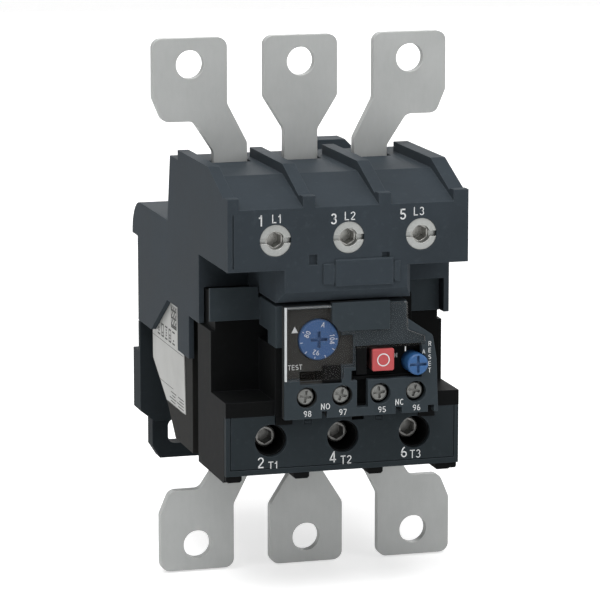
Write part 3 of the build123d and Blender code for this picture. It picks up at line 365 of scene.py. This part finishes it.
def flatMesh(name, shapes, place, look, body):
    # polygons in millimetres, made a little thick and set on their face
    work = bmesh.new()
    for shape in shapes:
        work.faces.new([work.verts.new((u * mm, v * mm, 0.0)) for u, v in shape])
    pushed = bmesh.ops.extrude_face_region(work, geom=work.faces[:])
    raised = [part for part in pushed["geom"] if isinstance(part, bmesh.types.BMVert)]
    bmesh.ops.translate(work, vec=(0, 0, faces["ink"] * mm), verts=raised)
    bmesh.ops.recalc_face_normals(work, faces=work.faces[:])
    bmesh.ops.transform(work, matrix=place, verts=work.verts[:])
    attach(newPiece(name, work, look), body)


def bow(cx, cy, rx, ry, start, end, steps=14):
    # points of an arc, angles in degrees
    angles = [math.radians(start + (end - start) * i / steps) for i in range(steps + 1)]
    return [(cx + rx * math.cos(a), cy + ry * math.sin(a)) for a in angles]


def turned(strokes, width):
    return [[(width - x, 1.0 - y) for x, y in stroke] for stroke in strokes]


# plain grotesque letters in a box one unit high, as centre lines of their strokes
six = [bow(0.31, 0.3, 0.215, 0.225, 0, 360, 22), bow(0.42, 0.33, 0.325, 0.595, 180, 96, 8)]
glyphs = {
    "0": [bow(0.31, 0.5, 0.22, 0.425, 0, 360, 26)],
    "1": [[(0.28, 0.0), (0.28, 1.0)], [(0.06, 0.72), (0.2, 0.78), (0.26, 0.94)]],
    "2": [bow(0.31, 0.7, 0.215, 0.225, 170, -35, 12) + [(0.09, 0.1)], [(0.07, 0.075), (0.55, 0.075)]],
    "3": [bow(0.29, 0.72, 0.19, 0.205, 160, -90), bow(0.29, 0.295, 0.22, 0.22, 90, -160)],
    "4": [[(0.43, 0.0), (0.43, 1.0)], [(0.4, 0.93), (0.07, 0.27)], [(0.02, 0.25), (0.6, 0.25)]],
    "5": [[(0.53, 0.925), (0.15, 0.925)], [(0.16, 0.96), (0.11, 0.5)],
          bow(0.3, 0.32, 0.225, 0.245, 135, -155)],
    "6": six,
    "7": [[(0.05, 0.925), (0.56, 0.925)], [(0.54, 0.92), (0.2, 0.0)]],
    "8": [bow(0.31, 0.73, 0.185, 0.2, 0, 360, 22), bow(0.31, 0.29, 0.22, 0.215, 0, 360, 22)],
    "9": turned(six, 0.62),
    "A": [[(0.03, 0.0), (0.32, 0.97)], [(0.32, 0.97), (0.61, 0.0)], [(0.14, 0.32), (0.5, 0.32)]],
    "C": [bow(0.36, 0.5, 0.27, 0.425, 48, 312, 20)],
    "E": [[(0.11, 0.0), (0.11, 1.0)]] + [[(0.11, y), (0.56, y)] for y in (0.075, 0.51, 0.925)],
    "H": [[(0.1, 0.0), (0.1, 1.0)], [(0.56, 0.0), (0.56, 1.0)], [(0.1, 0.52), (0.56, 0.52)]],
    "L": [[(0.11, 0.0), (0.11, 1.0)], [(0.11, 0.075), (0.54, 0.075)]],
    "N": [[(0.1, 0.0), (0.1, 1.0)], [(0.1, 0.96), (0.58, 0.04)], [(0.58, 0.0), (0.58, 1.0)]],
    "O": [bow(0.38, 0.5, 0.29, 0.425, 0, 360, 28)],
    "R": [[(0.11, 0.0), (0.11, 1.0)],
          [(0.11, 0.925)] + bow(0.36, 0.7, 0.19, 0.225, 90, -90, 10) + [(0.11, 0.475)],
          [(0.36, 0.475), (0.58, 0.0)]],
    "S": [bow(0.32, 0.715, 0.21, 0.21, 35, 270, 12) + bow(0.32, 0.29, 0.225, 0.215, 90, -145, 12)[1:]],
    "T": [[(0.02, 0.925), (0.6, 0.925)], [(0.31, 0.0), (0.31, 0.925)]],
}
wide = {"O": 0.76, "C": 0.68, "N": 0.68, "1": 0.5, "H": 0.66}
usualWidth, letterGap = 0.62, 0.1  # width of the other letters, and the space after each one


def ribbon(points, half):
    # quads along a centre line, mitred where it turns
    closed = math.dist(points[0], points[-1]) < 1e-6
    if closed:
        points = points[:-1]
    count = len(points)
    rims = []
    for i, (x, y) in enumerate(points):
        before = points[i - 1] if i or closed else None
        after = points[(i + 1) % count] if i < count - 1 or closed else None
        along = [Vector(b) - Vector(a) for a, b in ((before, (x, y)), ((x, y), after)) if a and b]
        sides = [Vector((-d.y, d.x)).normalized() for d in along]
        middle = sum(sides, Vector((0, 0))).normalized()
        reach = half / max(0.5, middle.dot(sides[0]))
        across, up = middle.x * reach, middle.y * reach
        rims.append(((x + across, y + up), (x - across, y - up)))
    pairs = list(zip(rims, rims[1:])) + ([(rims[-1], rims[0])] if closed else [])
    return [(a[0], b[0], b[1], a[1]) for a, b in pairs]


def lettering(words, height, weight=0.075):
    # quads of a word centred on the origin
    shapes, run = [], 0.0
    for letter in words:
        for stroke in glyphs[letter]:
            shapes += [[(x + run, y) for x, y in quad] for quad in ribbon(stroke, weight)]
        run += wide.get(letter, usualWidth) + letterGap
    middle = (run - letterGap) / 2
    return [[((x - middle) * height, (y - 0.5) * height) for x, y in quad] for quad in shapes]


def moved(shapes, x, z, spin=0.0):
    c, s = math.cos(spin), math.sin(spin)
    return [[(x + u * c - v * s, z + u * s + v * c) for u, v in shape] for shape in shapes]


printed = {
    # words, x, middle height, letter height
    "lineNumbers": {"face": "adaptor", "weight": 0.064, "marks": [
        ("1", -27.67, 41.5, 3.4), ("3", -4.8, 41.1, 3.4), ("5", 17.1, 41.6, 3.4)]},
    "lineLetters": {"face": "adaptor", "weight": 0.056, "marks": [
        ("L1", -22.7, 41.9, 2.65), ("L2", 0.27, 41.8, 2.65), ("L3", 22.2, 42.3, 2.65)]},
    "loadNumbers": {"face": "cover", "weight": 0.054, "marks": [
        ("2", -26.3, -34.5, 3.5), ("4", -3.3, -34.1, 3.5), ("6", 19.7, -34.0, 3.5)]},
    "loadLetters": {"face": "cover", "weight": 0.052, "marks": [
        ("T1", -22.3, -35.6, 2.7), ("T2", 1.0, -35.2, 2.7), ("T3", 23.4, -34.8, 2.7)]},
    "controlNumbers": {"face": "control", "weight": 0.06, "marks": [
        ("98", -12.66, -19.1, 1.9), ("97", -1.35, -19.15, 1.9), ("95", 11.16, -19.1, 1.9),
        ("96", 22.3, -19.15, 1.9), ("NO", -6.94, -17.1, 1.95), ("NC", 16.79, -17.1, 1.95)]},
    "resetWord": {"face": "control", "weight": 0.065, "marks": [
        (letter, 26.45, 0.7 - 2.08 * i, 1.5) for i, letter in enumerate("RESET")]},
    "modeLetters": {"face": "control", "weight": 0.07, "marks": [("A", 24.5, -1.65, 1.35)]},
    "handLetter": {"face": "well", "weight": 0.07, "marks": [("H", 17.1, -3.4, 1.35)]},
    "testWord": {"face": "window", "weight": 0.062, "marks": [("TEST", -16.1, -4.77, 1.65)]},
}
for name, group in printed.items():
    shapes = []
    for words, x, z, height in group["marks"]:
        shapes += moved(lettering(words, height, group["weight"]), x, z)
    flatMesh(name, shapes, onFront(0, 0, faces[group["face"]]), "whiteInk", "housing")
print("printed marks made")

stopMark = {"x": 11.4, "z": -3.5, "radius": 1.85, "half": 0.17}
shapes = ribbon(bow(0, 0, stopMark["radius"], stopMark["radius"], 0, 360, 48), stopMark["half"])
place = onFront(stopMark["x"], stopMark["z"], faces["stop"])
flatMesh("stopRing", shapes, place, "whiteInk", "stop_push")

pointer = {"x": -16.2, "z": 6.9, "half": 1.05, "height": 2.0}
low, high = -pointer["height"] / 2, pointer["height"] / 2
shapes = [[(-pointer["half"], low), (pointer["half"], low), (0, high)]]
place = onFront(pointer["x"], pointer["z"], faces["window"])
flatMesh("dialPointer", shapes, place, "whiteInk", "housing")

# numbers with their angle and radius, then ticks: every third one is longer
dialMarks = {"x": -8.8, "z": 3.6, "radius": 5.6, "step": 34.5, "start": 153, "ticks": 7, "height": 1.6,
             "weight": 0.058, "half": 0.1, "long": 0.45, "short": 0.3,
             "numbers": [("80", 153, 4.1), ("104", 0, 4.2), ("92", -103, 4.0), ("A", 74, 4.8)]}
shapes = []
for words, angle, reach in dialMarks["numbers"]:
    a = math.radians(angle)
    number = lettering(words, dialMarks["height"], dialMarks["weight"])
    shapes += moved(number, reach * math.cos(a), reach * math.sin(a), a - math.pi / 2)
for i in range(dialMarks["ticks"]):
    a = math.radians(dialMarks["start"] + i * dialMarks["step"])
    length, half = dialMarks["long"] if i % 3 else dialMarks["short"], dialMarks["half"]
    tick = [(-length, -half), (length, -half), (length, half), (-length, half)]
    shapes += moved([tick], dialMarks["radius"] * math.cos(a), dialMarks["radius"] * math.sin(a), a)
place = onFront(dialMarks["x"], dialMarks["z"], faces["dial"])
flatMesh("dialScale", shapes, place, "whiteInk", "setting_dial")

modeTick = {"x": 18.6, "z": -0.5, "half": 0.17, "height": 1.5}
half, high = modeTick["half"], modeTick["height"] / 2
shapes = [[(-half, -high), (half, -high), (half, high), (-half, high)]]
place = onFront(modeTick["x"], modeTick["z"], faces["control"])
flatMesh("modeTick", shapes, place, "whiteInk", "housing")
print("dial, buttons and pointers marked")

# generic rows and rules on the label of the rear case
label = {"x": -36.25, "rules": [(62.9, 104.0, -11.9), (76.5, 95.0, -25.3)], "rows": 5,
         "box": (62.8, 84.0, -30.6, -26.6), "code": (71.5, -5.2, 0.62, 12),
         "signs": (74.0, -10.6, 3.3, -6.2, 5), "rule": 0.09, "row": 0.16, "gap": 0.8,
         "line": 0.55}


def strip(first, last, low, high):
    # a rectangle between two depths, as u and v of the left face
    return [(-last, low), (-first, low), (-first, high), (-last, high)]


shapes = [strip(first, last, z - label["rule"], z + label["rule"]) for first, last, z in label["rules"]]
near, far, low, high = label["box"]
for i in range(label["rows"]):
    # two blank words in each row, of lengths that vary a little
    z = low + (high - low) * i / (label["rows"] - 1)
    shares = (0.0, 0.3 + 0.07 * (i % 3), 0.5 + 0.05 * (i % 2), 0.97 - 0.12 * (i % 2))
    spots = [near + (far - near) * share for share in shares]
    for first, last in ((spots[0], spots[1] - label["gap"]), (spots[2] - label["gap"], spots[3] - i)):
        shapes.append(strip(first, last, z - label["row"], z + label["row"]))
near, low, cell, count = label["code"]
for row in range(count):
    for column in range(count):
        framed = column == 0 or row == 0 or (row + column) % 2 == 0 and count - 1 in (row, column)
        if framed or (row * 5 + column * 3 + row * column) % 4 < 2:
            first, base = near + column * cell, low + row * cell
            shapes.append(strip(first, first + cell * 0.96, base, base + cell * 0.96))
near, low, across, high, count = label["signs"]
for i in range(count):
    first = near + i * across * 1.5
    line = label["line"]
    sides = [(first, first + across, low, low + line), (first, first + across, high - line, high),
             (first, first + line, low, high), (first + across - line, first + across, low, high)]
    heights = [low + (high - low) * share for share in (0.25, 0.45, 0.65)]
    bars = [(first + across * 0.3, first + across * 0.7, base, base + line) for base in heights]
    shapes += [strip(*side) for side in (sides[:2 + 2 * (i % 2)] + bars[:1 + i % 3])]
flatMesh("labelRows", shapes, onLeft(label["x"], 0, 0), "darkInk", "housing")


# springs, wound with closed ends, in place of the model's spring nodes
def alongBack(x, z, depth):
    # w runs from the front of the part to its back
    turn = Matrix.Rotation(math.radians(-90), 4, "X")
    return Matrix.Translation((x * mm, frontY + depth * mm, z * mm)) @ turn


springs = {
    # radius of the coil and of its wire, and the share of the length that is left at the joint's limit
    "clipCoil": {"node": "clip_spring", "joint": "rail_clip_slide", "radius": 1.35, "wire": 0.28,
                 "length": 7.4, "turns": 6,
                 "place": Matrix.Translation((0, -5.35 * mm, -36.05 * mm)),
                 "axis": (0, 0, 1), "anchor": (0, 0, -36.05 * mm), "keep": 0.44},
    "stopCoil": {"node": "stop_spring", "joint": "stop_press", "radius": 2.6, "wire": 0.25,
                 "length": 11.1, "turns": 7, "place": alongBack(11.4, -3.5, 9.15),
                 "axis": (0, 1, 0), "anchor": (0, frontY + 20.25 * mm, 0), "keep": 0.86},
    "resetCoil": {"node": "reset_spring", "joint": "reset_press", "radius": 2.5, "wire": 0.25,
                  "length": 5.2, "turns": 5, "place": alongBack(22.3, -5.4, 15.15),
                  "axis": (0, 1, 0), "anchor": (0, frontY + 20.35 * mm, 0), "keep": 0.61},
}
coilShape = {"steps": 28, "sides": 10, "closed": 1.0}


def coilLine(spring):
    # centre line of the wire: one turn lies flat at each end, and the rest climbs evenly
    closed, turns, wire = coilShape["closed"], spring["turns"], spring["wire"]
    climb = spring["length"] - 2 * wire - 4 * wire * closed
    points = []
    for i in range(coilShape["steps"] * turns + 1):
        t = i / coilShape["steps"]
        flat = min(t, closed) + max(t - turns + closed, 0.0)
        height = wire + 2 * wire * flat + climb * (t - flat) / (turns - 2 * closed)
        angle = 2 * math.pi * t
        radius = spring["radius"]
        points.append(Vector((radius * math.cos(angle), radius * math.sin(angle), height)))
    return points


def makeCoil(name, spring):
    points = coilLine(spring)
    work = bmesh.new()
    rings = []
    for i, point in enumerate(points):
        along = (points[min(i + 1, len(points) - 1)] - points[max(i - 1, 0)]).normalized()
        outward = Vector((point.x, point.y, 0)).normalized()
        upward = along.cross(outward).normalized()
        ring = []
        for j in range(coilShape["sides"]):
            angle = 2 * math.pi * j / coilShape["sides"]
            spot = point + (outward * math.cos(angle) + upward * math.sin(angle)) * spring["wire"]
            ring.append(work.verts.new(spring["place"] @ (spot * mm)))
        rings.append(ring)
    for first, second in zip(rings, rings[1:]):
        for j in range(coilShape["sides"]):
            k = (j + 1) % coilShape["sides"]
            work.faces.new((first[j], first[k], second[k], second[j])).smooth = True
    work.faces.new(rings[0][::-1])
    work.faces.new(rings[-1])
    bmesh.ops.recalc_face_normals(work, faces=work.faces[:])
    piece = newPiece(name, work, "springSteel")
    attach(piece, "housing")
    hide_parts(spring["node"])
    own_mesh(piece)


for name, spring in springs.items():
    makeCoil(name, spring)
print("springs wound:", len(springs))

# camera at the photograph's angle
photoView = {"lens": 207.26, "sensor": 36.0, "clip": 20, "place": (-0.29941, -1.11274, 0.20772),
             "azimuth": -16.03, "elevation": 10.524}
camera = bpy.data.cameras.new("camera")
camera.lens = photoView["lens"]
camera.sensor_width = photoView["sensor"]
camera.clip_end = photoView["clip"]
cameraObject = bpy.data.objects.new("camera", camera)
cameraObject.location = photoView["place"]
tilt, turn = math.radians(90 - photoView["elevation"]), math.radians(photoView["azimuth"])
cameraObject.rotation_euler = (tilt, 0, turn)
bpy.context.scene.collection.objects.link(cameraObject)
bpy.context.scene.camera = cameraObject

# floor and backdrop in one sweep
stage = {"floor": -0.0786, "near": -3.4, "far": 3.4, "top": 3.6, "half": 3.4, "bend": 0.9, "lift": 0.56,
         "colour": (226, 226, 226), "pale": (232, 232, 232), "fibre": 300.0, "rough": 0.8,
         "fibreRough": 0.1}
rayKinds = ("Camera", "Glossy", "Transmission")


def seenDirectly(finish):
    # 1 for the camera and for what metal or glass show
    rays = [finish.node("LightPath", output=f"Is {kind} Ray") for kind in rayKinds]
    return rays[0] | rays[1] | rays[2]


def makePaper():
    # pale paper, lifted to white where it is seen, so that only the shadow shows
    finish = Finish("palePaper")
    fibre = finish.noise(stage["fibre"], 3.0)
    colour = finish.blend(finish.ramp(fibre, *mottle), srgb(*stage["colour"]), srgb(*stage["pale"]))
    return finish.done(finish.node("BsdfPrincipled", {}, {
        "Base Color": colour, "Roughness": (fibre - 0.5) * stage["fibreRough"] + stage["rough"],
        "Emission Strength": stage["lift"],
        "Emission Color": finish.blend(seenDirectly(finish), (0, 0, 0, 1), (1, 1, 1, 1))}))


def makeStage():
    work = bmesh.new()
    bend = stage["bend"]
    curve = bow(stage["far"] - bend, stage["floor"] + bend, bend, bend, -90, 0, 12)
    profile = [(stage["near"], stage["floor"])] + curve
    profile.append((stage["far"], stage["top"]))
    left = [work.verts.new((-stage["half"], y, z)) for y, z in profile]
    right = [work.verts.new((stage["half"], y, z)) for y, z in profile]
    for i in range(len(profile) - 1):
        work.faces.new((left[i], right[i], right[i + 1], left[i + 1])).smooth = True
    mesh = bpy.data.meshes.new("stageSweep")
    work.to_mesh(mesh)
    work.free()
    mesh.materials.append(makePaper())
    made = bpy.data.objects.new("stageSweep", mesh)
    bpy.context.scene.collection.objects.link(made)


makeStage()

lamps = {
    "world": 0.45,
    "topLamp": {"place": (-0.2, -0.4, 1.05), "size": 0.9, "power": 10.1},
    "leftLamp": {"place": (-1.25, -0.7, 0.5), "size": 0.9, "power": 0.45},
    "rightLamp": {"place": (0.9, -1.2, 0.5), "size": 0.8, "power": 4.0},
    "backLamp": {"place": (0.3, 1.6, 0.3), "size": 0.9, "power": 6.0},
}


def makeWorld(strength):
    world = bpy.data.worlds.new("studio")
    bpy.context.scene.world = world
    world.use_nodes = True
    tree = world.node_tree
    tree.nodes.clear()
    rays = tree.nodes.new("ShaderNodeLightPath")
    level = tree.nodes.new("ShaderNodeMapRange")
    level.inputs["To Min"].default_value = strength
    level.inputs["To Max"].default_value = 1.0
    seen = rays.outputs[f"Is {rayKinds[0]} Ray"]
    for kind in rayKinds[1:]:
        either = tree.nodes.new("ShaderNodeMath")
        either.operation = "MAXIMUM"
        tree.links.new(seen, either.inputs[0])
        tree.links.new(rays.outputs[f"Is {kind} Ray"], either.inputs[1])
        seen = either.outputs[0]
    tree.links.new(seen, level.inputs["Value"])
    background = tree.nodes.new("ShaderNodeBackground")
    tree.links.new(level.outputs[0], background.inputs["Strength"])
    tree.links.new(background.outputs[0], tree.nodes.new("ShaderNodeOutputWorld").inputs[0])
    background.inputs["Color"].default_value = (1, 1, 1, 1)


makeWorld(lamps.pop("world"))
aim = Vector((0, -0.06, 0))
for name, lamp in lamps.items():
    light = bpy.data.lights.new(name, "AREA")
    light.shape = "SQUARE"
    light.size = lamp["size"]
    light.energy = lamp["power"]
    shown = bpy.data.objects.new(name, light)
    shown.location = lamp["place"]
    shown.rotation_euler = (aim - Vector(lamp["place"])).to_track_quat("-Z", "Y").to_euler()
    bpy.context.scene.collection.objects.link(shown)

bpy.context.scene.view_settings.view_transform = "Standard"
print("camera, stage and lamps set")
